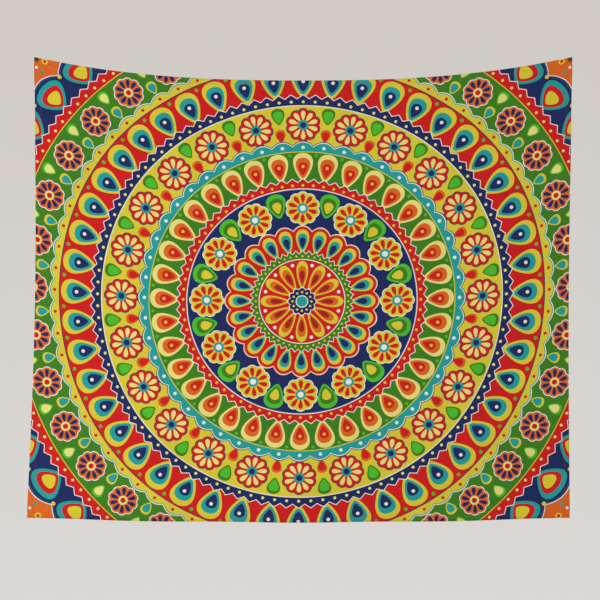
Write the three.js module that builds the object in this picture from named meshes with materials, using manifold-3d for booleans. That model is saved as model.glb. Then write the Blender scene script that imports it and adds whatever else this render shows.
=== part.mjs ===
// A printed tapestry wall hanging: one hemmed cloth held to a wall by a tack through each top corner.
// Units are millimetres. +X is to the right, +Z is up and the printed face looks along -Y.
// The origin lies on the wall's face, midway between the two tacks.
import * as THREE from "three";
import { mergeVertices } from "three/addons/utils/BufferGeometryUtils.js";
import Module from "manifold-3d";

const wasm = await Module();
wasm.setup();

// The cloth as it is sold, laid flat.
const CLOTH_WIDTH = 1524;
const CLOTH_HEIGHT = 1295;
const CLOTH_THICKNESS = 0.9;
const HEM_WIDTH = 18;
const HEM_THICKNESS = 1.4; // the two turned-in layers behind the face

// The rows of thread that close the hems.
const THREAD_WIDTH = 1.4;
const THREAD_THICKNESS = 0.4;
const THREAD_FROM_INNER_EDGE = 3;

// The tacks.
const TACK_FROM_SIDE = 8;
const TACK_BELOW_EDGE = 8;
const HEAD_RADIUS = 6;
const HEAD_DEPTH = 3.6;
const HEAD_RIM = 0.8;
const NEEDLE_RADIUS = 0.6;
const NEEDLE_IN_WALL = 8;
const NEEDLE_POINT = 2.5;
const SOCKET_DEPTH = 1.6;

// Clearances.
const FIT_GAP = 0.3; // between pieces that touch
const SWING_GAP = 0.6; // between a pinned corner and the cloth that swings past it
const WALL_GAP = 1; // between the wall and the back of the hems

// How the cloth hangs. Lengths are millimetres on the hung cloth.
const TOP_SAG = 68; // drop of the top edge's middle below its ends
const TOP_SAG_POWER = 2.5;
const BOTTOM_SAG = 13;
const TOP_TAKE_UP = 4; // half of what the width loses to the sag
const MIDDLE_TAKE_UP = 14; // and to the folds at mid height
const HEM_DRIFT = -14; // sideways lean of the bottom hem
const HELD_RADIUS = 30; // round each tack the cloth lies flat on the wall
const FREE_RADIUS = 300; // from here on it hangs free
const STAND_OFF = 3;
const BELLY_DEPTH = 14;
const SWAG_DEPTH = 9; // curved folds strung between the tacks
const SWAG_PITCH = 190;
const SWAG_FADE = 520;
const RIPPLE_DEPTH = 10; // upright folds that open towards the bottom hem
const RIPPLE_COUNT = 3.5;
const RIPPLE_LEAN = 0.35;

// Fineness of the solids.
const COLUMNS = 30;
const ROWS = 26;
const HEAD_SEGMENTS = 28;
const DOME_STEPS = 6;
const NEEDLE_SEGMENTS = 12;

const FRONT = 0;
const BACK = 1;
const CORNER_STACK = WALL_GAP + HEM_THICKNESS + FIT_GAP + CLOTH_THICKNESS;
const TACK_X = CLOTH_WIDTH / 2 - TOP_TAKE_UP - TACK_FROM_SIDE;
const HEAD_REAR_Y = -(CORNER_STACK + FIT_GAP);

const PRINT_RED = 0xc22a26;
const HEM_RED = 0xb05a50;
const THREAD_RED = 0x8e1f22;
const HEAD_BLACK = 0x17161a;
const NEEDLE_STEEL = 0xb9bcc0;

function smooth(from, to, value) {
  const t = THREE.MathUtils.clamp((value - from) / (to - from), 0, 1);
  return t * t * (3 - 2 * t);
}

// Across, u runs from -1 at the left edge to 1 at the right; down, v runs from 0 to 1.
function across(fromSide) {
  return 1 - (2 * fromSide) / CLOTH_WIDTH;
}

function down(fromTop) {
  return fromTop / CLOTH_HEIGHT;
}

// The hung cloth seen from the front: where a point of the flat cloth lies on the wall.
function hungX(u, v) {
  const waist = Math.sin(Math.PI * v);
  const takeUp = TOP_TAKE_UP * (1 - v) + MIDDLE_TAKE_UP * waist;
  return u * (CLOTH_WIDTH / 2 - takeUp) + HEM_DRIFT * v * v;
}

function hungZ(u, v) {
  const top = TACK_BELOW_EDGE - TOP_SAG * (1 - Math.abs(u) ** TOP_SAG_POWER);
  const bottom = TACK_BELOW_EDGE - CLOTH_HEIGHT - BOTTOM_SAG * (1 - u * u);
  return top + (bottom - top) * v;
}

// How far the cloth stands out beyond where it would lie flat on the wall.
function swags(u, x, z) {
  const strung = 1 - Math.min(Math.abs(x) / TACK_X, 1) ** 2;
  const drop = Math.max(-z, 0) / Math.max(strung, 0.08);
  const fold = 0.5 - 0.5 * Math.cos((2 * Math.PI * drop) / SWAG_PITCH);
  return SWAG_DEPTH * fold * Math.exp(-drop / SWAG_FADE) * strung;
}

function ripples(u, v) {
  const turn = Math.PI * RIPPLE_COUNT * (u + RIPPLE_LEAN * u * (1 - v));
  return RIPPLE_DEPTH * v * v * (0.5 + 0.5 * Math.cos(turn));
}

function standOut(u, v) {
  const x = hungX(u, v);
  const z = hungZ(u, v);
  const fromTack = Math.hypot(Math.abs(x) - TACK_X, z);
  const free = smooth(HELD_RADIUS, FREE_RADIUS, fromTack);
  const belly = BELLY_DEPTH * Math.sin(Math.PI * v ** 0.8);
  return free * (STAND_OFF + belly + swags(u, x, z) + ripples(u, v));
}

// A point on one of the cloth's layers, whose front and back lie at these depths in the stack.
function layer(frontDepth, backDepth) {
  return (u, v, side) => {
    const depth = side === FRONT ? frontDepth : backDepth;
    return [hungX(u, v), -(depth + standOut(u, v)), hungZ(u, v)];
  };
}

// Evenly spread values with both ends.
function spread(from, to, steps) {
  return Array.from({ length: steps + 1 }, (_, i) => from + ((to - from) * i) / steps);
}

// A closed thin solid over a grid of cells, some of which may be left out.
function sheetSolid(us, vs, place, keep = () => true) {
  const columns = us.length;
  const rows = vs.length;
  const points = [FRONT, BACK].flatMap((side) =>
    vs.flatMap((v) => us.flatMap((u) => place(u, v, side))),
  );
  const corner = (i, j, side) => (side * rows + j) * columns + i;
  const kept = (i, j) => i >= 0 && j >= 0 && i < columns - 1 && j < rows - 1 && keep(i, j);
  const faces = [];
  const quad = (a, b, c, d) => faces.push(a, b, c, a, c, d);
  const addCell = (i, j) => {
    const ring = [[i, j], [i, j + 1], [i + 1, j + 1], [i + 1, j]];
    const beside = [[i - 1, j], [i, j + 1], [i + 1, j], [i, j - 1]];
    quad(...ring.map(([a, b]) => corner(a, b, FRONT)));
    const [topLeft, bottomLeft, bottomRight, topRight] = ring.map(([a, b]) => corner(a, b, BACK));
    quad(topLeft, topRight, bottomRight, bottomLeft);
    ring.forEach((start, k) => {
      if (kept(...beside[k])) return;
      const end = ring[(k + 1) % ring.length];
      quad(corner(...end, FRONT), corner(...start, FRONT), corner(...start, BACK), corner(...end, BACK));
    });
  };
  for (let j = 0; j < rows - 1; j++)
    for (let i = 0; i < columns - 1; i++) if (kept(i, j)) addCell(i, j);
  const geometry = new THREE.BufferGeometry();
  geometry.setAttribute("position", new THREE.Float32BufferAttribute(points, 3));
  geometry.setIndex(faces);
  return mergeVertices(geometry);
}

// Geometry to a manifold solid and back, for cuts.
function toSolid(geometry) {
  const bare = new THREE.BufferGeometry();
  bare.setAttribute("position", geometry.getAttribute("position"));
  bare.setIndex(geometry.index);
  const merged = mergeVertices(bare, 1e-4);
  const vertProperties = new Float32Array(merged.attributes.position.array);
  const triVerts = new Uint32Array(merged.index.array);
  return new wasm.Manifold(new wasm.Mesh({ numProp: 3, vertProperties, triVerts }));
}

function cut(geometry, tool) {
  const mesh = toSolid(geometry).subtract(toSolid(tool)).getMesh();
  const result = new THREE.BufferGeometry();
  result.setAttribute("position", new THREE.BufferAttribute(mesh.vertProperties, mesh.numProp));
  result.setIndex(new THREE.BufferAttribute(mesh.triVerts, 1));
  return result;
}

const group = new THREE.Group();

function addPiece(name, geometry, color, roughness, metalness = 0, x = 0) {
  const material = new THREE.MeshStandardMaterial({ color, roughness, metalness });
  const mesh = new THREE.Mesh(geometry, material);
  mesh.name = name;
  mesh.position.x = x;
  group.add(mesh);
}

// Lines that every layer of the cloth shares, so that the layers keep their gaps in the folds.
const innerU = across(HEM_WIDTH);
const innerV = down(HEM_WIDTH);
const middleUs = spread(-innerU, innerU, COLUMNS);
const middleVs = spread(innerV, 1 - innerV, ROWS);
const allUs = [-1, ...middleUs, 1];
const allVs = [0, ...middleVs, 1];

const panelBack = CORNER_STACK - CLOTH_THICKNESS;
const hemFront = panelBack - FIT_GAP;
const hemBack = hemFront - HEM_THICKNESS;
const threadFront = hemBack - FIT_GAP;
const threadBack = threadFront - THREAD_THICKNESS;

function addPanel() {
  const isCorner = (i, j) => j === 0 && (i === 0 || i === allUs.length - 2);
  const place = layer(CORNER_STACK, panelBack);
  const geometry = sheetSolid(allUs, allVs, place, (i, j) => !isCorner(i, j));
  addPiece("cloth_panel", geometry, PRINT_RED, 0.9);
}

// The hems are the cloth's own edges, folded in twice behind the face.
function addHems() {
  const place = layer(hemFront, hemBack);
  const sideVs = [innerV + down(FIT_GAP), ...middleVs.slice(1, -1), 1 - innerV - down(FIT_GAP)];
  addPiece("top_hem", sheetSolid(middleUs, [0, innerV], place), HEM_RED, 0.9);
  addPiece("bottom_hem", sheetSolid(allUs, [1 - innerV, 1], place), HEM_RED, 0.9);
  addPiece("left_hem", sheetSolid([-1, -innerU], sideVs, place), HEM_RED, 0.9);
  addPiece("right_hem", sheetSolid([innerU, 1], sideVs, place), HEM_RED, 0.9);
}

// A thread lies on the straight line across its hem, as the flat facets of the hem do.
function onHem(outer, inner, place) {
  return (share, side) => {
    const from = place(...outer, side);
    const to = place(...inner, side);
    return from.map((value, k) => value + (to[k] - value) * share);
  };
}

function addThreads() {
  const place = layer(threadFront, threadBack);
  const nearShare = 1 - THREAD_FROM_INNER_EDGE / HEM_WIDTH;
  const shares = [nearShare - THREAD_WIDTH / HEM_WIDTH, nearShare];
  const level = (outer, inner) => (u, share, side) =>
    onHem([u, outer], [u, inner], place)(share, side);
  const upright = (outer, inner) => (share, v, side) =>
    onHem([outer, v], [inner, v], place)(share, side);
  const top = sheetSolid(middleUs, shares, level(0, innerV));
  const bottom = sheetSolid(middleUs, [...shares].reverse(), level(1, 1 - innerV));
  const sideVs = middleVs.slice(1, -1);
  const left = sheetSolid(shares, sideVs, upright(-1, -innerU));
  const right = sheetSolid([...shares].reverse(), sideVs, upright(1, innerU));
  addPiece("top_hem_thread", top, THREAD_RED, 0.7);
  addPiece("bottom_hem_thread", bottom, THREAD_RED, 0.7);
  addPiece("left_hem_thread", left, THREAD_RED, 0.7);
  addPiece("right_hem_thread", right, THREAD_RED, 0.7);
}

// The folded corner that a tack clamps to the wall, with the needle's hole.
function addCorner(name, hand) {
  const edge = across(HEM_WIDTH - SWING_GAP);
  const us = hand < 0 ? [-1, -edge] : [edge, 1];
  const vs = [0, down(HEM_WIDTH - SWING_GAP)];
  const square = sheetSolid(us, vs, layer(CORNER_STACK, WALL_GAP));
  const radius = NEEDLE_RADIUS + FIT_GAP;
  const hole = new THREE.CylinderGeometry(radius, radius, 4 * CORNER_STACK, NEEDLE_SEGMENTS);
  hole.translate(hand * TACK_X, 0, 0);
  addPiece(name, cut(square, hole), HEM_RED, 0.9);
}

// The tack's low dome, with the blind socket that holds its needle. It is turned about the Y axis.
function headGeometry() {
  const socketRadius = NEEDLE_RADIUS + FIT_GAP;
  const dome = spread(0, Math.PI / 2, DOME_STEPS).map(
    (angle) =>
      new THREE.Vector2(
        HEAD_RADIUS * Math.sin(angle),
        -HEAD_RIM - (HEAD_DEPTH - HEAD_RIM) * Math.cos(angle),
      ),
  );
  dome[0].x = 0;
  const profile = [
    ...dome,
    new THREE.Vector2(HEAD_RADIUS, 0),
    new THREE.Vector2(socketRadius, 0),
    new THREE.Vector2(socketRadius, -SOCKET_DEPTH),
    new THREE.Vector2(0, -SOCKET_DEPTH),
  ];
  return new THREE.LatheGeometry(profile, HEAD_SEGMENTS).translate(0, HEAD_REAR_Y, 0);
}

function needleGeometry() {
  const front = HEAD_REAR_Y - SOCKET_DEPTH + FIT_GAP;
  const profile = [
    new THREE.Vector2(0, front),
    new THREE.Vector2(NEEDLE_RADIUS, front),
    new THREE.Vector2(NEEDLE_RADIUS, NEEDLE_IN_WALL - NEEDLE_POINT),
    new THREE.Vector2(0, NEEDLE_IN_WALL),
  ];
  return new THREE.LatheGeometry(profile, NEEDLE_SEGMENTS);
}

function addTack(side, hand) {
  addPiece(side + "_tack_head", headGeometry(), HEAD_BLACK, 0.35, 0, hand * TACK_X);
  addPiece(side + "_tack_needle", needleGeometry(), NEEDLE_STEEL, 0.3, 1, hand * TACK_X);
}

addPanel();
addHems();
addThreads();
addCorner("left_pinned_corner", -1);
addCorner("right_pinned_corner", 1);
addTack("left", -1);
addTack("right", 1);

export default group;
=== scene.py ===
# %% [markdown]
# # A printed tapestry wall hanging
# One wide hemmed cloth hangs from a tack through each top corner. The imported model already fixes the
# sizes, the places and the joints, so this lesson only makes what is seen: the cloth with its folds, the
# turned hems, the stitching, the two tacks and the finish of each.

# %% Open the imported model
from math import cos, pi, radians, sin

import bmesh
import bpy
import numpy as np
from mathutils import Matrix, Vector


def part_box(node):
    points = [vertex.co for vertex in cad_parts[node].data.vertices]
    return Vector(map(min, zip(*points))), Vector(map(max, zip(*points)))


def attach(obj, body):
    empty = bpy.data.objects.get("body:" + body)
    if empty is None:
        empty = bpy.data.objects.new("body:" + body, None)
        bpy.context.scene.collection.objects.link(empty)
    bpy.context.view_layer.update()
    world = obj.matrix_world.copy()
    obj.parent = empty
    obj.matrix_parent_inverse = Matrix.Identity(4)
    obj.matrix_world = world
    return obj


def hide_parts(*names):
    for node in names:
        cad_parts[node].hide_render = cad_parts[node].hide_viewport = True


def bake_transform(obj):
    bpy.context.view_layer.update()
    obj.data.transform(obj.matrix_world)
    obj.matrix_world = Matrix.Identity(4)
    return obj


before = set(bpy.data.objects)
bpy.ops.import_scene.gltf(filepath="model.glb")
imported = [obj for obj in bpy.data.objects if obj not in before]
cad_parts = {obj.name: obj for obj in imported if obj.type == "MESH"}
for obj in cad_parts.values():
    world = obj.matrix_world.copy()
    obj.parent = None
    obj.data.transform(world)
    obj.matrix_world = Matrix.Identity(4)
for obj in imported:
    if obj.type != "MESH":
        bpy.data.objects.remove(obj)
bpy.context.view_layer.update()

# %% [markdown]
# ## The measures of the cloth
# The cloth was cut and hemmed flat, so its flat size is the size to keep. What the model says about the
# two tacks is read from the frame. The remaining values say how the cloth hangs, and they are the ones
# that the solid model was made with, so the visible cloth lies where the model says.

# %% Measures, in metres
MM = 0.001
CLOTH_WIDTH = 1524 * MM
CLOTH_HEIGHT = 1295 * MM
CLOTH_THICKNESS = 0.6 * MM
HEM_WIDTH = 18 * MM
FRONT_AT_TACK = 3.6 * MM
TACK_BELOW_EDGE = 8 * MM

tack_low, tack_high = (Vector(corner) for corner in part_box("right_tack_needle"))
TACK_X = (tack_low.x + tack_high.x) / 2
print("tacks stand", round(2 * TACK_X, 4), "m apart")

# %% [markdown]
# ## How the cloth hangs
# A cloth held at two corners sags between them, stands a little off the wall and falls into soft folds:
# curved ones strung between the tacks, short ones that fan out from each tack, and upright ones that open
# towards the bottom hem. A simulation could find such folds, but they have to agree with the solid model
# and come out the same each time, so each kind of fold is one short formula on the flat cloth. Across the
# cloth, u runs from -1 to 1; down it, v runs from 0 to 1.

# %% The outline of the hung cloth
TOP_SAG = 68 * MM
TOP_SAG_POWER = 2.5
BOTTOM_SAG = 13 * MM
TOP_TAKE_UP = 4 * MM
MIDDLE_TAKE_UP = 14 * MM
HEM_DRIFT = -14 * MM


def hung_x(u, v):
    take_up = TOP_TAKE_UP * (1 - v) + MIDDLE_TAKE_UP * np.sin(pi * v)
    return u * (CLOTH_WIDTH / 2 - take_up) + HEM_DRIFT * v * v


def hung_z(u, v):
    top = TACK_BELOW_EDGE - TOP_SAG * (1 - np.abs(u) ** TOP_SAG_POWER)
    bottom = TACK_BELOW_EDGE - CLOTH_HEIGHT - BOTTOM_SAG * (1 - u * u)
    return top + (bottom - top) * v


middle_height = hung_z(0.0, 0.0) - hung_z(0.0, 1.0)
print("the middle of the cloth hangs", round(middle_height / MM), "mm from hem to hem")

# %% The folds
HELD_RADIUS = 30 * MM
FREE_RADIUS = 300 * MM
STAND_OFF = 3 * MM
BELLY_DEPTH = 14 * MM
SWAG_DEPTH = 9 * MM
SWAG_PITCH = 190 * MM
SWAG_FADE = 520 * MM
RIPPLE_DEPTH = 10 * MM
RIPPLE_COUNT = 3.5
RIPPLE_LEAN = 0.35
PUCKER_DEPTH = 2.4 * MM
PUCKERS_ROUND = 14
PUCKER_REACH = 150 * MM


def smooth(start, end, value):
    t = np.clip((value - start) / (end - start), 0, 1)
    return t * t * (3 - 2 * t)


def swags(x, z):
    strung = 1 - np.minimum(np.abs(x) / TACK_X, 1) ** 2
    drop = np.maximum(-z, 0) / np.maximum(strung, 0.08)
    fold = 0.5 - 0.5 * np.cos(2 * pi * drop / SWAG_PITCH)
    return SWAG_DEPTH * fold * np.exp(-drop / SWAG_FADE) * strung


def ripples(u, v):
    turn = pi * RIPPLE_COUNT * (u + RIPPLE_LEAN * u * (1 - v))
    return RIPPLE_DEPTH * v * v * (0.5 + 0.5 * np.cos(turn))


def puckers(x, z):
    beside = TACK_X - np.abs(x)
    away = np.hypot(beside, z)
    turn = PUCKERS_ROUND * np.arctan2(-z, beside)
    fading = smooth(8 * MM, 45 * MM, away) * np.exp(-away / PUCKER_REACH)
    return PUCKER_DEPTH * fading * (0.5 + 0.5 * np.cos(turn))


def stand_out(u, v):
    x, z = hung_x(u, v), hung_z(u, v)
    away = np.hypot(np.abs(x) - TACK_X, z)
    free = smooth(HELD_RADIUS, FREE_RADIUS, away)
    belly = BELLY_DEPTH * np.sin(pi * np.clip(v, 0, 1) ** 0.8)
    loose = free * (STAND_OFF + belly + swags(x, z) + ripples(u, v))
    return loose + puckers(x, z)


def hung(u, v):
    """Points of the printed face, for arrays of u and v."""
    return np.stack([hung_x(u, v), -(FRONT_AT_TACK + stand_out(u, v)), hung_z(u, v)], axis=-1)


def facing(u, v):
    """Unit normals of the printed face, looking at the room."""
    step = 1e-4
    across = hung(u + step, v) - hung(u - step, v)
    down = hung(u, v + step) - hung(u, v - step)
    normal = np.cross(down, across)
    return normal / np.linalg.norm(normal, axis=-1, keepdims=True)


samples = np.linspace(-1, 1, 41), np.linspace(0, 1, 41)
deepest = stand_out(*np.meshgrid(*samples)).max()
print("the folds stand out up to", round(deepest / MM, 1), "mm")

# %% [markdown]
# ## The cloth sheet
# On the flat cloth every point has a place measured from the middle: x to the right and y up. The sheet
# is a grid of such points, set closer together near the sides and the top, where the small folds round
# the tacks are. The printed face and the reverse are both laid out, a cloth's thickness apart, and joined
# along their border, so the sheet is closed. A map named flat keeps each point's place on the flat cloth,
# and the print is drawn on it, so the pattern bends with the folds and never slides over them.

# %% From the flat cloth to the hung one
EDGE_ROUND = 0.9 * MM


def as_u(x):
    return x / (CLOTH_WIDTH / 2)


def as_v(y):
    return 0.5 - y / CLOTH_HEIGHT


def laid(x, y, depth):
    """Points a depth behind the printed face, over flat places x and y."""
    u, v = as_u(x), as_v(y)
    return hung(u, v) - facing(u, v) * np.asarray(depth)[..., None]


def closer_at_both_ends(count):
    t = np.linspace(-1, 1, count)
    return t * (1.35 - 0.35 * t * t)


def closer_at_the_start(count):
    t = np.linspace(0, 1, count)
    return t * (0.4 + 0.6 * t)

# %% A mesh piece with its maps
def piece(name, points, faces, maps, material_numbers, materials):
    """A plain mesh object; maps gives for each named map one place per vertex of each face."""
    mesh = bpy.data.meshes.new(name)
    mesh.from_pydata(points, [], faces)
    for map_name, places in maps.items():
        layer = mesh.uv_layers.new(name=map_name)
        layer.data.foreach_set("uv", np.asarray(places, np.float32).ravel())
    mesh.polygons.foreach_set("material_index", material_numbers)
    mesh.polygons.foreach_set("use_smooth", [True] * len(faces))
    for material in materials:
        mesh.materials.append(material)
    mesh.update()
    made = bpy.data.objects.new(name, mesh)
    bpy.context.scene.collection.objects.link(made)
    triangles = sum(len(face) - 2 for face in faces)
    print(name, "has", len(points), "points and", triangles, "triangles")
    return made

# %% The sheet's grid
COLUMNS = 225
ROWS = 195
SHEET_HALF_WIDTH = CLOTH_WIDTH / 2 - EDGE_ROUND
SHEET_HALF_HEIGHT = CLOTH_HEIGHT / 2 - EDGE_ROUND


def cloth_sheet(name, materials):
    across = closer_at_both_ends(COLUMNS) * SHEET_HALF_WIDTH
    down = SHEET_HALF_HEIGHT * (1 - 2 * closer_at_the_start(ROWS))
    x, y = np.meshgrid(across, down)
    front = laid(x, y, np.zeros_like(x)).reshape(-1, 3)
    back = laid(x, y, np.full_like(x, CLOTH_THICKNESS)).reshape(-1, 3)
    number_of = np.arange(ROWS * COLUMNS).reshape(ROWS, COLUMNS)
    corners = (number_of[:-1, :-1], number_of[1:, :-1], number_of[1:, 1:], number_of[:-1, 1:])
    front_faces = np.stack(corners, axis=-1).reshape(-1, 4)
    back_faces = front_faces[:, ::-1] + ROWS * COLUMNS
    top, right = number_of[0, :], number_of[1:, -1]
    bottom, left = number_of[-1, -2::-1], number_of[-2:0:-1, 0]
    rim = np.concatenate([top, right, bottom, left])
    following = np.roll(rim, -1)
    lift = ROWS * COLUMNS
    rim_faces = np.stack([rim, following, following + lift, rim + lift], axis=-1)
    faces = np.concatenate([front_faces, back_faces, rim_faces])
    flat = np.stack([x, y], axis=-1).reshape(-1, 2)
    flat = np.concatenate([flat, flat])
    reading = bake_places(flat, len(front_faces), len(back_faces), faces)
    numbers = [0] * len(front_faces) + [1] * len(back_faces) + [0] * len(rim_faces)
    maps = {"flat": flat[faces.ravel()] / MM, "OFBake": reading}
    return piece(name, np.concatenate([front, back]).tolist(), faces.tolist(), maps, numbers, materials)

# %% A second map, without overlaps
FRONT_SIZE, FRONT_AT = [0.996, 0.846], [0.002, 0.002]
BACK_SIZE, BACK_AT = [0.996, 0.132], [0.002, 0.856]
RIM_START, RIM_LENGTH, RIM_FILL = 0.002, 0.99, 0.9
RIM_LOW, RIM_HIGH = 0.991, 0.997


def bake_places(flat, front_count, back_count, faces):
    """The printed face takes most of the map, the reverse a strip above it and the rim a thin line on top."""
    share = (flat / [CLOTH_WIDTH, CLOTH_HEIGHT] + 0.5)[faces]
    place = share * FRONT_SIZE + FRONT_AT
    back = slice(front_count, front_count + back_count)
    place[back] = share[back] * BACK_SIZE + BACK_AT
    rim_count = len(faces) - front_count - back_count
    left = RIM_START + np.arange(rim_count) / rim_count * RIM_LENGTH
    right = left + RIM_FILL / rim_count
    level = np.tile([RIM_LOW, RIM_LOW, RIM_HIGH, RIM_HIGH], (rim_count, 1))
    place[front_count + back_count :] = np.stack([np.stack([left, right, right, left], -1), level], -1)
    return place.reshape(-1, 2)


print("the sheet is a grid of", COLUMNS, "by", ROWS, "points on each side")

# %% [markdown]
# ## Drawing the print with numbers
# A pattern is printed on the cloth. Here it is drawn by the material itself, so it stays sharp at any
# distance and needs no picture. Every shape is a few numbers that vary over the cloth: a number that is
# one inside the shape and nought outside is a mask, and painting a mask lays a colour over what is
# already there, as a printer lays one ink over another. The small class below lets those numbers be
# written as plain sums.

# %% Numbers that vary over the cloth
prints = bpy.data.node_groups.new("tapestry_print", "ShaderNodeTree")
prints.interface.new_socket("Flat place", in_out="INPUT", socket_type="NodeSocketVector")
prints.interface.new_socket("Colour", in_out="OUTPUT", socket_type="NodeSocketColor")


class Field:
    """A number that varies over the cloth, held by a node's output."""

    def __init__(self, socket):
        self.socket = socket

    def __add__(self, other):
        return number("ADD", self, other)

    def __sub__(self, other):
        return number("SUBTRACT", self, other)

    def __rsub__(self, other):
        return number("SUBTRACT", other, self)

    def __mul__(self, other):
        return number("MULTIPLY", self, other)


def feed(tree, socket, value):
    if isinstance(value, Field):
        value = value.socket
    if isinstance(value, bpy.types.NodeSocket):
        tree.links.new(value, socket)
    else:
        socket.default_value = value


def number(kind, *terms):
    node = prints.nodes.new("ShaderNodeMath")
    node.operation = kind
    for socket, term in zip(node.inputs, terms):
        feed(prints, socket, term)
    return Field(node.outputs[0])

# %% Painting one colour over another
def linear(hex_colour):
    """A colour written as six hex digits, as the renderer wants it."""
    shares = [int(hex_colour[i : i + 2], 16) / 255 for i in (0, 2, 4)]
    return [s / 12.92 if s <= 0.04045 else ((s + 0.055) / 1.055) ** 2.4 for s in shares] + [1.0]


class Ink:
    """The colour laid down so far."""

    def __init__(self, ground):
        self.colour = linear(ground)

    def paint(self, mask, hex_colour):
        node = prints.nodes.new("ShaderNodeMix")
        node.data_type = "RGBA"
        feed(prints, node.inputs[0], mask)
        feed(prints, node.inputs[6], self.colour)
        feed(prints, node.inputs[7], linear(hex_colour))
        self.colour = node.outputs[2]

# %% Shapes
def inside(distance, limit=0.0):
    return number("LESS_THAN", distance, limit)


def fold(value, half):
    """Distance from the nearest even multiple of half: one drawn petal then serves for every petal."""
    return number("PINGPONG", value, half)


def plus(share, by, start):
    """start + share * by, in one node."""
    return number("MULTIPLY_ADD", share, by, start)


def squared(x, y):
    return number("MULTIPLY_ADD", y, y, x * x)


def length(x, y):
    return number("SQRT", squared(x, y))


def near(x, y, radius):
    return inside(squared(x, y), radius * radius)


def polar(x, y):
    return length(x, y), number("ARCTAN2", y, x)


def lobes(angle, half):
    """One at the crown of each round lobe and nought in the notch between two."""
    share = fold(angle, half) * (1 / half)
    return number("MULTIPLY_ADD", share * share, -1.0, 1.0)


def teeth(angle, half):
    """Nought at the tip of each straight tooth and one between two."""
    return fold(angle, half) * (1 / half)


class Spot:
    """A place on a ray from the middle: x runs outwards from it, and y runs across the ray."""

    def __init__(self, radius, turn, out):
        self.x = plus(radius, number("COSINE", turn), -out)
        self.y = radius * number("SINE", turn)


def petal(spot, foot, tip, half):
    """Round at the tip and narrow at the foot."""
    share = (spot.x - foot) * (1 / (tip - foot))
    roundness = number("SQRT", share * (1.0 - share))
    return inside(spot.y, roundness * plus(share, 1.5 * half, 0.9 * half))


print("shapes ready")

# %% [markdown]
# ## The motifs
# The print is a mandala made of plain textbook ornament: rings of petals, round rosettes, scallops, teeth
# and dots about one middle, on a ground that changes colour from ring to ring and runs out past the
# corners. Each motif is drawn once. Folding the angle about the middle brings every copy of it to the
# same place, so a ring of forty petals costs no more than one. Counts are multiples of twelve, which
# keeps the rings in step.

# %% Inks
RED = "D41A1E"
DEEP_RED = "A8201F"
ORANGE = "E26C20"
YELLOW = "DFD338"
PALE_YELLOW = "EFE98A"
GREEN = "3F8420"
LEAF = "4FC42E"
TEAL = "1FA5A6"
BLUE = "1D5590"
NAVY = "1B2A63"
WHITE = "F4F5EE"

# %% Edges and dots, all round
LINE = 2.6


def disc(ink, r, radius, colours):
    """Discs one inside the other, each a line smaller than the last."""
    for step, colour in enumerate(colours):
        ink.paint(inside(r, radius - step * LINE), colour)


def scalloped(ink, r, angle, count, radius, height, colours):
    """Discs with a row of round lobes for an edge."""
    disc(ink, r, plus(lobes(angle, pi / count), height, radius - height), colours)


def toothed(ink, r, angle, count, radius, height, colours):
    """Discs with a row of straight teeth for an edge."""
    disc(ink, r, plus(teeth(angle, pi / count), -height, radius), colours)


def dots(ink, r, angle, count, radius, size, colour):
    along = fold(angle, pi / count) * radius
    ink.paint(near(r - radius, along, size), colour)

# %% Petals, all round
def turn_to(angle, count, between):
    """The angle from the nearest of so many rays, or from the nearest gap between two."""
    turn = fold(angle, pi / count)
    return pi / count - turn if between else turn


PETAL_FILL = 0.92
NEXT_SMALLER = 0.27
NEXT_FURTHER_OUT = 0.1


def petals(ink, r, angle, count, foot, tip, colours, fill=PETAL_FILL, between=False):
    """A ring of petals, each drawn again, smaller, in every further colour."""
    spot = Spot(r, turn_to(angle, count, between), 0.0)
    half = fill * pi / count * (foot + tip) / 2
    reach = tip - foot
    for step, colour in enumerate(colours):
        small = 1.0 - NEXT_SMALLER * step
        start = foot + reach * NEXT_FURTHER_OUT * step
        ink.paint(petal(spot, start, start + reach * small, half * small), colour)

# %% Rosettes, all round
ROSETTE_PETALS = 10


def rosettes(ink, r, angle, count, radius, size, colours, between=False):
    """A ring of round flowers in five colours: edge, face, petals, ring and eye."""
    spot = Spot(r, turn_to(angle, count, between), radius)
    away, turn = polar(spot.x, spot.y)
    edge, face, blade, ring, eye = colours
    scalloped(ink, away, turn, ROSETTE_PETALS, size, size * 0.1, [edge, face])
    petals(ink, away, turn, ROSETTE_PETALS, size * 0.3, size * 0.84, [blade], 0.8)
    ink.paint(inside(away, size * 0.3), ring)
    ink.paint(inside(away, size * 0.17), eye)

# %% [markdown]
# ## Laying the rings
# A printer lays the ground first and the smallest marks last. The rings are painted in the same way, from
# the outermost to the middle, so each new disc covers the ends of the petals outside it and gives them a
# clean edge. Numbers are the counts round the middle and the radii in millimetres on the flat cloth.

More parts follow.
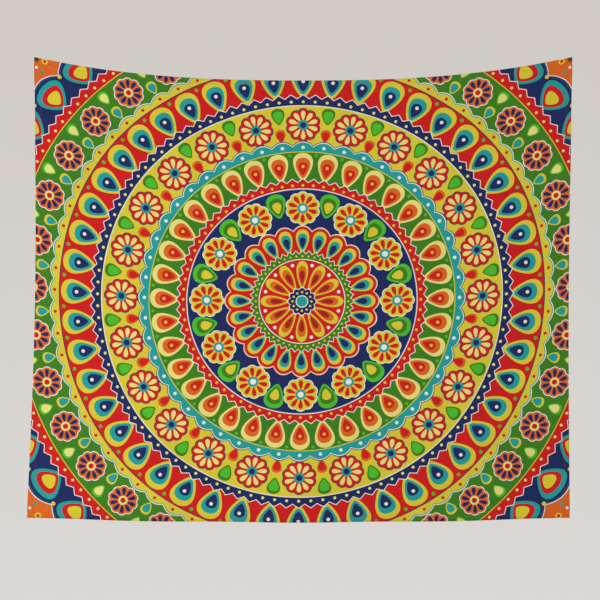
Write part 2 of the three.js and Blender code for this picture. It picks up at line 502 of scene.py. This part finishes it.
# %% The outer rings
def outer_rings(ink, r, angle):
    dots(ink, r, angle, 96, 972.0, 9.0, YELLOW)
    dots(ink, r, angle, 96, 972.0, 4.5, RED)
    dots(ink, r, angle + pi / 96, 96, 976.0, 4.0, WHITE)
    dots(ink, r, angle + pi / 96, 96, 958.0, 5.0, TEAL)
    scalloped(ink, r, angle, 48, 948.0, 24.0, [WHITE, NAVY, BLUE, NAVY])
    petals(ink, r, angle, 48, 852.0, 932.0, [TEAL, RED, YELLOW])
    dots(ink, r, angle + pi / 48, 48, 918.0, 6.0, YELLOW)
    toothed(ink, r, angle, 144, 858.0, 12.0, [WHITE, RED])
    dots(ink, r, angle, 144, 834.0, 4.0, PALE_YELLOW)
    disc(ink, r, 824.0, [YELLOW, GREEN])
    rosettes(ink, r, angle, 36, 768.0, 44.0, [WHITE, ORANGE, NAVY, PALE_YELLOW, RED])
    petals(ink, r, angle, 36, 776.0, 816.0, [LEAF, PALE_YELLOW], 0.26, True)
    petals(ink, r, angle, 36, 724.0, 762.0, [YELLOW, TEAL], 0.26, True)
    scalloped(ink, r, angle, 72, 722.0, 12.0, [WHITE, TEAL, YELLOW])
    dots(ink, r, angle, 72, 706.0, 4.6, RED)

# %% The middle rings
def middle_rings(ink, r, angle):
    disc(ink, r, 694.0, [NAVY, RED])
    petals(ink, r, angle, 48, 596.0, 688.0, [YELLOW, TEAL, NAVY])
    dots(ink, r, angle, 48, 644.0, 5.0, WHITE)
    dots(ink, r, angle + pi / 48, 48, 681.0, 5.0, LEAF)
    toothed(ink, r, angle, 108, 606.0, 12.0, [WHITE, NAVY])
    dots(ink, r, angle, 108, 584.0, 4.2, PALE_YELLOW)
    disc(ink, r, 574.0, [WHITE, YELLOW])
    rosettes(ink, r, angle, 24, 516.0, 50.0, [NAVY, RED, PALE_YELLOW, TEAL, NAVY])
    petals(ink, r, angle, 24, 520.0, 568.0, [GREEN, LEAF], 0.3, True)
    petals(ink, r, angle, 24, 466.0, 506.0, [ORANGE, RED], 0.26, True)
    scalloped(ink, r, angle, 48, 470.0, 14.0, [NAVY, WHITE, TEAL])
    dots(ink, r, angle, 48, 450.0, 5.0, WHITE)
    disc(ink, r, 438.0, [YELLOW, GREEN])
    petals(ink, r, angle, 36, 352.0, 434.0, [PALE_YELLOW, ORANGE, RED])
    dots(ink, r, angle, 36, 394.0, 4.5, YELLOW)
    dots(ink, r, angle + pi / 36, 36, 427.0, 4.5, LEAF)

# %% The inner rings and the heart
def inner_rings(ink, r, angle):
    toothed(ink, r, angle, 72, 360.0, 11.0, [WHITE, RED])
    dots(ink, r, angle, 72, 339.0, 4.0, YELLOW)
    disc(ink, r, 330.0, [WHITE, BLUE, NAVY])
    rosettes(ink, r, angle, 12, 272.0, 50.0, [WHITE, YELLOW, RED, TEAL, WHITE])
    petals(ink, r, angle, 12, 250.0, 322.0, [LEAF, GREEN, YELLOW], 0.42, True)
    scalloped(ink, r, angle, 24, 222.0, 15.0, [WHITE, ORANGE, RED])
    petals(ink, r, angle, 24, 142.0, 210.0, [YELLOW, TEAL, NAVY])
    toothed(ink, r, angle, 48, 150.0, 10.0, [WHITE, GREEN])
    dots(ink, r, angle, 48, 132.0, 3.2, YELLOW)
    disc(ink, r, 124.0, [WHITE, RED])
    petals(ink, r, angle, 12, 36.0, 118.0, [YELLOW, ORANGE, DEEP_RED])
    dots(ink, r, angle + pi / 12, 12, 108.0, 5.0, WHITE)
    scalloped(ink, r, angle, 12, 42.0, 6.0, [WHITE, NAVY])
    dots(ink, r, angle, 12, 27.0, 3.4, YELLOW)
    disc(ink, r, 18.0, [WHITE, TEAL])

# %% The whole print
def whole_print(ink, flat_x, flat_y):
    r, angle = polar(flat_x, flat_y)
    outer_rings(ink, r, angle)
    middle_rings(ink, r, angle)
    inner_rings(ink, r, angle)

# %% Print the pattern once, for every cloth finish
place_in = prints.nodes.new("NodeGroupInput")
apart = prints.nodes.new("ShaderNodeSeparateXYZ")
prints.links.new(place_in.outputs[0], apart.inputs[0])
ink = Ink(ORANGE)
whole_print(ink, Field(apart.outputs[0]), Field(apart.outputs[1]))
colour_out = prints.nodes.new("NodeGroupOutput")
prints.links.new(ink.colour, colour_out.inputs[0])
print("the print is drawn with", len(prints.nodes), "nodes")

# %% [markdown]
# ## Finishes
# The cloth is a light polyester plain weave: matt, with a faint bloom when seen from the side. Its weave
# is much finer than its pattern, so it goes into the bump, together with a slight slub in the yarn and
# the pinch that each stitch gives the cloth beside the hem. The print sits in the yarn, so its colour
# also varies a little from place to place. The reverse is unprinted and shows the colours only faintly.

# %% A finish and its parts
YARN_PITCH = 0.5


class Finish:
    """A material under construction: its nodes, its surface shader and short ways to add to them."""

    def __init__(self, name):
        self.material = bpy.data.materials.new(name)
        self.material.use_nodes = True
        self.tree = self.material.node_tree
        self.surface = self.tree.nodes["Principled BSDF"]

    def add(self, kind, settings=None, **inputs):
        node = self.tree.nodes.new(kind)
        for key, value in (settings or {}).items():
            setattr(node, key, value)
        for key, value in inputs.items():
            feed(self.tree, node.inputs[key.replace("_", " ")], value)
        return node

    def maths(self, kind, *terms):
        node = self.tree.nodes.new("ShaderNodeMath")
        node.operation = kind
        for socket, term in zip(node.inputs, terms):
            feed(self.tree, socket, term)
        return node.outputs[0]

    def mix(self, share, a, b, way="MIX"):
        node = self.tree.nodes.new("ShaderNodeMix")
        node.data_type = "RGBA"
        node.blend_type = way
        for at, value in ((0, share), (6, a), (7, b)):
            feed(self.tree, node.inputs[at], value)
        return node.outputs[2]

    def noise(self, place, scale, detail=2.0):
        return self.add("ShaderNodeTexNoise", Vector=place, Scale=scale, Detail=detail).outputs[0]

    def spread_out(self, value, low, high):
        limits = dict(From_Min=0.3, From_Max=0.7, To_Min=low, To_Max=high)
        node = self.add("ShaderNodeMapRange", Value=value, **limits)
        return node.outputs[0]

    def bump(self, height, strength, distance, under=None):
        node = self.add("ShaderNodeBump", Height=height, Strength=strength, Distance=distance)
        if under is not None:
            self.tree.links.new(under, node.inputs["Normal"])
        return node.outputs[0]

    def finish(self, **values):
        for key, value in values.items():
            feed(self.tree, self.surface.inputs[key.replace("_", " ")], value)
        return self.material

# %% The weave, shared by every cloth finish
HEM_STITCH_PITCH = 3.2
STITCH_LINE = 15.0
PINCH_REACH = 4.0


def flat_places(finish):
    place = finish.add("ShaderNodeUVMap", {"uv_map": "flat"}).outputs[0]
    split = finish.add("ShaderNodeSeparateXYZ", Vector=place)
    return place, split.outputs[0], split.outputs[1]


def weave_height(finish, x, y):
    """Warp over weft and weft over warp, as in a plain weave."""
    turn = 2 * pi / YARN_PITCH
    across = finish.maths("SINE", finish.maths("MULTIPLY", x, turn))
    down = finish.maths("SINE", finish.maths("MULTIPLY", y, turn))
    return finish.maths("MULTIPLY", across, down)


def stitch_pinch(finish, x, y):
    """How far the cloth is drawn in beside the row of stitches."""
    half_width, half_height = CLOTH_WIDTH / 2 / MM, CLOTH_HEIGHT / 2 / MM
    from_side = finish.maths("SUBTRACT", half_width, finish.maths("ABSOLUTE", x))
    from_end = finish.maths("SUBTRACT", half_height, finish.maths("ABSOLUTE", y))
    nearest = finish.maths("MINIMUM", from_side, from_end)
    away = finish.maths("DIVIDE", finish.maths("SUBTRACT", nearest, STITCH_LINE), PINCH_REACH)
    pinch = finish.maths("DIVIDE", 1.0, finish.maths("MULTIPLY_ADD", away, away, 1.0))
    wrinkle = finish.noise(finish.add("ShaderNodeUVMap", {"uv_map": "flat"}).outputs[0], 0.16, 3.0)
    return finish.maths("MULTIPLY", pinch, finish.maths("MULTIPLY_ADD", wrinkle, 0.9, -1.0))


def cloth_surface(finish, place, x, y):
    slub = finish.noise(place, 0.35, 3.0)
    creases = finish.noise(place, 0.009, 3.0)
    soft = finish.bump(creases, 0.5, 0.012)
    pinched = finish.bump(stitch_pinch(finish, x, y), 0.6, 0.0012, soft)
    slubbed = finish.bump(slub, 0.3, 0.0004, pinched)
    return finish.bump(weave_height(finish, x, y), 0.25, 0.0001, slubbed)

# %% The printed face
def print_colour(finish, place):
    node = finish.tree.nodes.new("ShaderNodeGroup")
    node.node_tree = prints
    finish.tree.links.new(place, node.inputs[0])
    return node.outputs[0]


def printed_finish(name):
    finish = Finish(name)
    place, x, y = flat_places(finish)
    colour = print_colour(finish, place)
    patchy = finish.spread_out(finish.noise(place, 0.012, 4.0), 0.93, 1.05)
    yarn = finish.spread_out(finish.noise(place, 1.4, 2.0), 0.93, 1.05)
    shade = finish.maths("MULTIPLY", patchy, yarn)
    grey = finish.add("ShaderNodeCombineXYZ", X=shade, Y=shade, Z=shade).outputs[0]
    roughness = finish.spread_out(finish.noise(place, 0.05, 3.0), 0.68, 0.8)
    return finish.finish(
        Base_Color=finish.mix(1.0, colour, grey, "MULTIPLY"),
        Roughness=roughness,
        Normal=cloth_surface(finish, place, x, y),
        Sheen_Weight=0.06,
        Sheen_Roughness=0.45,
        Specular_IOR_Level=0.18,
    )


printed_face = printed_finish("printed_face")
turned_hem = printed_finish("turned_hem")
print("the printed finish has", len(printed_face.node_tree.nodes), "nodes besides the print")

# %% The reverse
SHOW_THROUGH = 0.3


def reverse_finish():
    finish = Finish("unprinted_reverse")
    place, x, y = flat_places(finish)
    faint = finish.mix(SHOW_THROUGH, linear("E9E5DC"), print_colour(finish, place))
    patchy = finish.spread_out(finish.noise(place, 0.02, 4.0), 0.92, 1.04)
    grey = finish.add("ShaderNodeCombineXYZ", X=patchy, Y=patchy, Z=patchy).outputs[0]
    return finish.finish(
        Base_Color=finish.mix(1.0, faint, grey, "MULTIPLY"),
        Roughness=0.82,
        Normal=cloth_surface(finish, place, x, y),
        Sheen_Weight=0.15,
        Sheen_Roughness=0.5,
        Specular_IOR_Level=0.2,
    )


reverse_face = reverse_finish()
print("the reverse shows", SHOW_THROUGH, "of the print")

# %% [markdown]
# ## Hanging the sheet
# The sheet is made straight in its hung shape. It is one closed skin with two finishes: the print in
# front, and the unprinted reverse behind.

# %% The printed cloth
printed_cloth = cloth_sheet("printed_cloth", [printed_face, reverse_face])

# %% [markdown]
# ## Turned hems
# Each edge of the cloth is folded to the back and sewn down. A fold could be cut from the sheet itself,
# but a separate band for each edge keeps the fold's round outer edge and its flat inner one under
# control. The band is one outline, swept along the edge: round where the cloth turns, flat behind, and
# rounded again where the raw edge is tucked under. The turned part shows the printed side, so its pattern
# carries on past the edge.

# %% The outline of a hem, as distance in from the edge and depth behind the face, in mm
HEM_DEPTH = 1.8
FOLD_STEPS = 7
LAY_STEPS = 9
FACE_TO_HEM = 0.66
ROUND_AT_RAW_EDGE = 0.5
FOLD_GAP = 0.12
FACE_GAP = 0.03


def hem_outline():
    """The outline, with the way travelled round it, which places the print on the turned part."""
    turn = np.linspace(0, pi, FOLD_STEPS)
    fold_in = -HEM_DEPTH / 2 * np.sin(turn)
    fold_depth = HEM_DEPTH / 2 * (1 - np.cos(turn))
    width = HEM_WIDTH / MM
    lay_in = np.linspace(width / LAY_STEPS, width - ROUND_AT_RAW_EDGE, LAY_STEPS)
    back_out = np.append(lay_in[::-1], FOLD_GAP)
    tuck = (HEM_DEPTH + FACE_TO_HEM) / 2
    inward = np.concatenate([fold_in, lay_in, [width], back_out, [FOLD_GAP]])
    behind, against = np.full(LAY_STEPS, HEM_DEPTH), np.full(LAY_STEPS + 1, FACE_TO_HEM)
    depth = np.concatenate([fold_depth, behind, [tuck], against, [FACE_GAP]])
    steps = np.hypot(np.diff(inward, prepend=0), np.diff(depth, prepend=0))
    return inward * MM, depth * MM, np.cumsum(steps) * MM


def hem(name, edge, start, end, places):
    """A band along one edge. edge names it, and the band runs from start to end along it."""
    inward, depth, travel = hem_outline()
    along = start + (end - start) * places
    sign = 1 if edge in ("top", "right") else -1
    level = edge in ("top", "bottom")
    border = sign * (SHEET_HALF_HEIGHT if level else SHEET_HALF_WIDTH)
    along_edge = np.repeat(along[:, None], len(inward), 1)
    from_edge = np.tile(border - sign * inward, (len(along), 1))
    unrolled = np.tile(border + sign * travel, (len(along), 1))
    x, y = (along_edge, from_edge) if level else (from_edge, along_edge)
    flat = np.stack([along_edge, unrolled] if level else [unrolled, along_edge], -1)
    points = laid(x, y, np.tile(depth, (len(along), 1)))
    return band_of_rings(name, points, flat)


def band_of_rings(name, points, flat):
    """Joins neighbouring outlines by faces, closes both ends and turns every face outwards."""
    rings, around = points.shape[:2]
    number_of = np.arange(rings * around).reshape(rings, around)
    nxt = np.roll(number_of, -1, axis=1)
    sides = np.stack([number_of[:-1], nxt[:-1], nxt[1:], number_of[1:]], -1).reshape(-1, 4)
    faces = sides.tolist() + [number_of[0, ::-1].tolist(), number_of[-1].tolist()]
    cloud = points.reshape(-1, 3)
    first = cloud[sides[0]]
    normal = np.cross(first[1] - first[0], first[3] - first[0])
    middle_ray = first.mean(0) - points[0].mean(0)
    if np.dot(normal, middle_ray) < 0:
        faces = [face[::-1] for face in faces]
    flats = flat.reshape(-1, 2)[np.concatenate([np.array(face) for face in faces])]
    return piece(name, cloud.tolist(), faces, {"flat": flats / MM}, [0] * len(faces), [turned_hem])

# %% Four hems
side_places = closer_at_the_start(ROWS)
end_places = (closer_at_both_ends(COLUMNS) + 1) / 2
hem_end = SHEET_HALF_WIDTH
HEM_GAP = 0.3 * MM
side_top = SHEET_HALF_HEIGHT - HEM_WIDTH - HEM_GAP
hems = {
    "top": hem("top_turned_hem", "top", -hem_end, hem_end, end_places),
    "bottom": hem("bottom_turned_hem", "bottom", -hem_end, hem_end, end_places),
    "left": hem("left_turned_hem", "left", side_top, -side_top, side_places),
    "right": hem("right_turned_hem", "right", side_top, -side_top, side_places),
}

# %% [markdown]
# ## Hem stitching
# A lockstitch machine sews each hem down with one thread in front and one behind, so the same row of
# short stitches shows on both sides. One stitch repeated along a line is work for Geometry Nodes: a line
# is cut into even steps, a small rounded stitch is set on each step and turned along the line, and a seed
# gives each a slightly different length. The result is turned into a plain mesh, because exported pieces
# keep no nodes.

# %% The thread
def thread_finish():
    finish = Finish("hem_thread")
    place = finish.add("ShaderNodeTexCoord").outputs["Object"]
    twist = finish.add("ShaderNodeTexWave", {"bands_direction": "DIAGONAL"}, Vector=place, Scale=900.0)
    tone = finish.spread_out(finish.noise(place, 60.0, 2.0), 0.0, 1.0)
    return finish.finish(
        Base_Color=finish.mix(tone, linear("B9352B"), linear("C94A38")),
        Roughness=0.55,
        Normal=finish.bump(twist.outputs[0], 0.4, 0.0001),
        Sheen_Weight=0.2,
        Sheen_Roughness=0.35,
    )


hem_thread = thread_finish()
print("thread finish ready")

# %% The tree that sews
def stitching_tree():
    tree = bpy.data.node_groups.new("row_of_stitches", "GeometryNodeTree")
    tree.is_modifier = True
    tree.interface.new_socket("Line", in_out="INPUT", socket_type="NodeSocketGeometry")
    sizes = (("Pitch", "NodeSocketFloat", 0.0032), ("Length", "NodeSocketFloat", 0.0026))
    more = (("Thickness", "NodeSocketFloat", 0.0005), ("Seed", "NodeSocketInt", 7))
    for label, kind, value in sizes + more:
        socket = tree.interface.new_socket(label, in_out="INPUT", socket_type=kind)
        socket.default_value = value
    tree.interface.new_socket("Thread", in_out="INPUT", socket_type="NodeSocketMaterial")
    tree.interface.new_socket("Stitches", in_out="OUTPUT", socket_type="NodeSocketGeometry")
    given = tree.nodes.new("NodeGroupInput")

    def add(kind, *wires, **settings):
        node = tree.nodes.new(kind)
        for key, value in settings.items():
            setattr(node, key, value)
        for label, value in wires:
            feed(tree, node.inputs[label], value)
        return node

    line = add("GeometryNodeMeshToCurve", ("Mesh", given.outputs["Line"]))
    steps = add("GeometryNodeResampleCurve", ("Curve", line.outputs[0]), mode="LENGTH")
    feed(tree, steps.inputs["Length"], given.outputs["Pitch"])
    ball = add("GeometryNodeMeshUVSphere", ("Segments", 6), ("Rings", 5), ("Radius", 0.5))
    tangent = add("GeometryNodeInputTangent")
    turned_along = add("FunctionNodeAlignRotationToVector", ("Vector", tangent.outputs[0]), axis="X")
    spread = add("FunctionNodeRandomValue", ("Seed", given.outputs["Seed"]), data_type="FLOAT")
    feed(tree, spread.inputs[2], 0.9)
    feed(tree, spread.inputs[3], 1.08)
    long = add("ShaderNodeMath", (0, given.outputs["Length"]), (1, spread.outputs[1]), operation="MULTIPLY")
    size = add("ShaderNodeCombineXYZ", ("X", long.outputs[0]), ("Y", given.outputs["Thickness"]))
    feed(tree, size.inputs["Z"], given.outputs["Thickness"])
    sewn = add("GeometryNodeInstanceOnPoints", ("Points", steps.outputs[0]), ("Instance", ball.outputs[0]))
    feed(tree, sewn.inputs["Rotation"], turned_along.outputs[0])
    feed(tree, sewn.inputs["Scale"], size.outputs[0])
    real = add("GeometryNodeRealizeInstances", ("Geometry", sewn.outputs[0]))
    smoothed = add("GeometryNodeSetShadeSmooth", ("Geometry", real.outputs[0]))
    painted = add("GeometryNodeSetMaterial", ("Geometry", smoothed.outputs[0]))
    feed(tree, painted.inputs["Material"], given.outputs["Thread"])
    done = tree.nodes.new("NodeGroupOutput")
    tree.links.new(painted.outputs[0], done.inputs[0])
    return tree


stitching = stitching_tree()
print("the sewing tree has", len(stitching.nodes), "nodes")


def set_input(modifier, label, value):
    for socket in modifier.node_group.interface.items_tree:
        if socket.name == label and socket.in_out == "INPUT":
            modifier[socket.identifier] = value


def plain_mesh(made, modifier):
    """Turns what the nodes made into the piece's own mesh and takes the nodes off."""
    bpy.context.view_layer.update()
    finished = made.evaluated_get(bpy.context.evaluated_depsgraph_get())
    mesh = bpy.data.meshes.new_from_object(finished)
    made.modifiers.remove(modifier)
    made.data = mesh
    return made

# %% Four rows, front and back
THREAD_PROUD = 0.05 * MM
THREAD_LENGTH = 2.7 * MM
THREAD_THICKNESS = 0.55 * MM
ROW_END = 4 * MM
LINE_STEPS = 400


def stitch_row(name, edge, seed):
    sign = 1 if edge in ("top", "right") else -1
    share = np.linspace(-1, 1, LINE_STEPS)
    if edge in ("top", "bottom"):
        x = share * (CLOTH_WIDTH / 2 - ROW_END)
        y = np.full_like(x, sign * (CLOTH_HEIGHT / 2 - STITCH_LINE * MM))
    else:
        y = share * (CLOTH_HEIGHT / 2 - HEM_WIDTH - ROW_END)
        x = np.full_like(y, sign * (CLOTH_WIDTH / 2 - STITCH_LINE * MM))
    front = laid(x, y, np.full_like(x, -THREAD_PROUD))
    back = laid(x, y, np.full_like(x, HEM_DEPTH * MM + THREAD_PROUD))
    first = [(i, i + 1) for i in range(LINE_STEPS - 1)]
    second = [(i + LINE_STEPS, i + 1 + LINE_STEPS) for i in range(LINE_STEPS - 1)]
    line = bpy.data.meshes.new(name)
    line.from_pydata(np.concatenate([front, back]).tolist(), first + second, [])
    row = bpy.data.objects.new(name, line)
    bpy.context.scene.collection.objects.link(row)
    modifier = row.modifiers.new("stitches", "NODES")
    modifier.node_group = stitching
    for label, value in (
        ("Pitch", HEM_STITCH_PITCH * MM),
        ("Length", THREAD_LENGTH),
        ("Thickness", THREAD_THICKNESS),
        ("Seed", seed),
        ("Thread", hem_thread),
    ):
        set_input(modifier, label, value)
    plain_mesh(row, modifier)
    print(name, "has", len(row.data.polygons), "faces")
    return row


rows = {edge: stitch_row(edge + "_stitching", edge, 11 + i) for i, edge in enumerate(hems)}

# %% [markdown]
# ## The tacks
# Each tack is a steel needle in a round enamelled head. Both are turned shapes, so each is one outline
# drawn from the axis outwards and spun round it. The head has a soft rim, a low dome and a flat back with
# the hole that the needle is set in.

# %% Spinning an outline round the needle's axis
AROUND = 48


def spun(name, outline, axis_x, axis_z, material):
    """outline is a list of (radius, y); its first and last points lie on the axis."""
    points = [(axis_x, outline[0][1], axis_z)]
    for radius, y in outline[1:-1]:
        for i in range(AROUND):
            turn = 2 * pi * i / AROUND
            points.append((axis_x + radius * cos(turn), y, axis_z + radius * sin(turn)))
    points.append((axis_x, outline[-1][1], axis_z))
    rings = len(outline) - 2
    faces = []
    for i in range(AROUND):
        j = (i + 1) % AROUND
        faces.append((0, 1 + i, 1 + j))
        for ring in range(rings - 1):
            a, b = 1 + ring * AROUND, 1 + (ring + 1) * AROUND
            faces.append((a + i, b + i, b + j, a + j))
        last = 1 + (rings - 1) * AROUND
        faces.append((last + i, len(points) - 1, last + j))
    made = piece(name, points, faces, {}, [0] * len(faces), [material])
    shell = bmesh.new()
    shell.from_mesh(made.data)
    bmesh.ops.recalc_face_normals(shell, faces=shell.faces)
    shell.to_mesh(made.data)
    shell.free()
    return made

# %% Enamel and steel
def enamel_finish():
    finish = Finish("tack_enamel")
    place = finish.add("ShaderNodeTexCoord").outputs["Object"]
    tone = finish.spread_out(finish.noise(place, 400.0, 3.0), 0.0, 1.0)
    worn = finish.noise(place, 900.0, 4.0)
    return finish.finish(
        Base_Color=finish.mix(tone, linear("1B1A1C"), linear("29272A")),
        Roughness=finish.spread_out(worn, 0.28, 0.42),
        Normal=finish.bump(worn, 0.15, 0.00005),
        Coat_Weight=0.3,
        Coat_Roughness=0.15,
    )


def steel_finish():
    finish = Finish("ground_steel")
    place = finish.add("ShaderNodeTexCoord").outputs["Object"]
    stretched = finish.add("ShaderNodeMapping", Vector=place, Scale=(4000.0, 150.0, 4000.0)).outputs[0]
    grain = finish.noise(stretched, 1.0, 3.0)
    return finish.finish(
        Base_Color=finish.mix(grain, linear("A9A9A8"), linear("C9C9C7")),
        Metallic=1.0,
        Roughness=finish.spread_out(grain, 0.22, 0.38),
        Normal=finish.bump(grain, 0.2, 0.00003),
    )


tack_enamel = enamel_finish()
ground_steel = steel_finish()
print("finishes for the tacks:", tack_enamel.name, "and", ground_steel.name)

# %% Two heads and two needles
DOME_STEPS = 9
RIM = 0.8 * MM
SOCKET_ROOM = 0.12 * MM
SOCKET_DEEP = 1.6 * MM
POINT_LENGTH = 2.5 * MM


def tack(side):
    low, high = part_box(side + "_tack_head")
    needle_low, needle_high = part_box(side + "_tack_needle")
    axis_x, axis_z = (low.x + high.x) / 2, (low.z + high.z) / 2
    radius, thick = (high.x - low.x) / 2, (needle_high.x - needle_low.x) / 2
    hole = thick + SOCKET_ROOM
    rear, front = high.y, low.y
    outline = [(0, rear - SOCKET_DEEP), (hole, rear - SOCKET_DEEP), (hole, rear), (radius - 0.3 * MM, rear)]
    outline += [(radius, rear - 0.3 * MM), (radius, rear - RIM)]
    for i in range(1, DOME_STEPS):
        turn = pi / 2 * i / DOME_STEPS
        outline.append((radius * cos(turn), rear - RIM - (rear - RIM - front) * sin(turn)))
    outline.append((0, front))
    head = spun(side + "_tack_dome", outline, axis_x, axis_z, tack_enamel)
    tip = needle_high.y
    shank = [(0, needle_low.y), (thick * 0.8, needle_low.y), (thick, needle_low.y + 0.15 * MM)]
    shank += [(thick, tip - POINT_LENGTH), (thick * 0.55, tip - POINT_LENGTH * 0.45), (0, tip)]
    needle = spun(side + "_tack_shank", shank, axis_x, axis_z, ground_steel)
    return head, needle


tacks = {side: tack(side) for side in ("left", "right")}

# %% [markdown]
# ## What moves with what
# The hung corners stay on their tacks, and the rest of the cloth can swing out from the wall. The cloth
# pieces are set in place as they were made and tied to no tack. Each tack's head and needle are tied to
# that tack, which pulls straight out of the wall.

# %% Tie the pieces to the model
cloth_pieces = [printed_cloth, *hems.values(), *rows.values()]
for made in cloth_pieces:
    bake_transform(made)
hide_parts("cloth_panel", "left_pinned_corner", "right_pinned_corner")
for edge in hems:
    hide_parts(edge + "_hem")
    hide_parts(edge + "_hem_thread")
for side, (head, needle) in tacks.items():
    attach(head, side + "_tack")
    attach(needle, side + "_tack")
    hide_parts(side + "_tack_head")
    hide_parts(side + "_tack_needle")
print("tied", len(cloth_pieces) + 4, "pieces")

# %% [markdown]
# ## Floor, light and camera
# A pale floor lies well below the hanging. The surroundings are the warm grey of a painted wall, a touch
# lighter below, and they give most of the light. One large soft lamp low on the left brings out the
# folds, and a second, weaker one from the right keeps the shadows open. The camera looks straight at the
# cloth.

# %% Floor
FLOOR_Z = -1.95


def floor_finish():
    finish = Finish("pale_floor")
    place = finish.add("ShaderNodeTexCoord").outputs["Object"]
    tone = finish.noise(place, 3.0, 3.0)
    return finish.finish(Base_Color=finish.mix(tone, linear("D4D0CB"), linear("DAD6D1")), Roughness=0.9)


corners = [(-3, -4.5, FLOOR_Z), (3, -4.5, FLOOR_Z), (3, 1.0, FLOOR_Z), (-3, 1.0, FLOOR_Z)]
floor = piece("pale_floor", corners, [(0, 1, 2, 3)], {}, [0], [floor_finish()])

# %% Surroundings
world = bpy.data.worlds.new("painted_wall_grey")
bpy.context.scene.world = world
world.use_nodes = True
sky = world.node_tree
background = sky.nodes["Background"]
looking = sky.nodes.new("ShaderNodeTexCoord")
parts = sky.nodes.new("ShaderNodeSeparateXYZ")
sky.links.new(looking.outputs["Generated"], parts.inputs[0])
rise = sky.nodes.new("ShaderNodeMapRange")
sky.links.new(parts.outputs["Z"], rise.inputs["Value"])
rise.inputs["From Min"].default_value = -0.26
rise.inputs["From Max"].default_value = 0.26
grade = sky.nodes.new("ShaderNodeMix")
grade.data_type = "RGBA"
grade.inputs[6].default_value = linear("DCD8D5")
grade.inputs[7].default_value = linear("CFCAC4")
sky.links.new(rise.outputs[0], grade.inputs[0])
sky.links.new(grade.outputs[2], background.inputs["Color"])
background.inputs["Strength"].default_value = 1.0

# %% Lamps
def soft_lamp(name, place, aim, size, power, colour):
    data = bpy.data.lights.new(name, "AREA")
    data.shape = "RECTANGLE"
    data.size = size
    data.size_y = size * 0.7
    data.energy = power
    data.color = colour
    lamp = bpy.data.objects.new(name, data)
    lamp.location = place
    lamp.rotation_euler = (Vector(aim) - Vector(place)).to_track_quat("-Z", "Y").to_euler()
    bpy.context.scene.collection.objects.link(lamp)


MIDDLE = (0.0, 0.0, -0.67)
soft_lamp("window_light", (-2.1, -2.3, -1.25), MIDDLE, 1.6, 30.0, (1.0, 0.985, 0.96))
soft_lamp("room_light", (2.4, -2.8, -0.9), MIDDLE, 2.0, 6.0, (0.97, 0.985, 1.0))

# %% Camera
bpy.context.scene.view_settings.view_transform = "Standard"
CAMERA_DISTANCE = 3.2
SEEN_WIDTH = 1.689
SENSOR = 36.0
camera_data = bpy.data.cameras.new("straight_on")
camera_data.sensor_width = SENSOR
camera_data.lens = SENSOR * CAMERA_DISTANCE / SEEN_WIDTH
camera = bpy.data.objects.new("straight_on", camera_data)
camera.location = (-0.009, -CAMERA_DISTANCE, -0.676)
camera.rotation_euler = (radians(90), 0, 0)
bpy.context.scene.collection.objects.link(camera)
bpy.context.scene.camera = camera
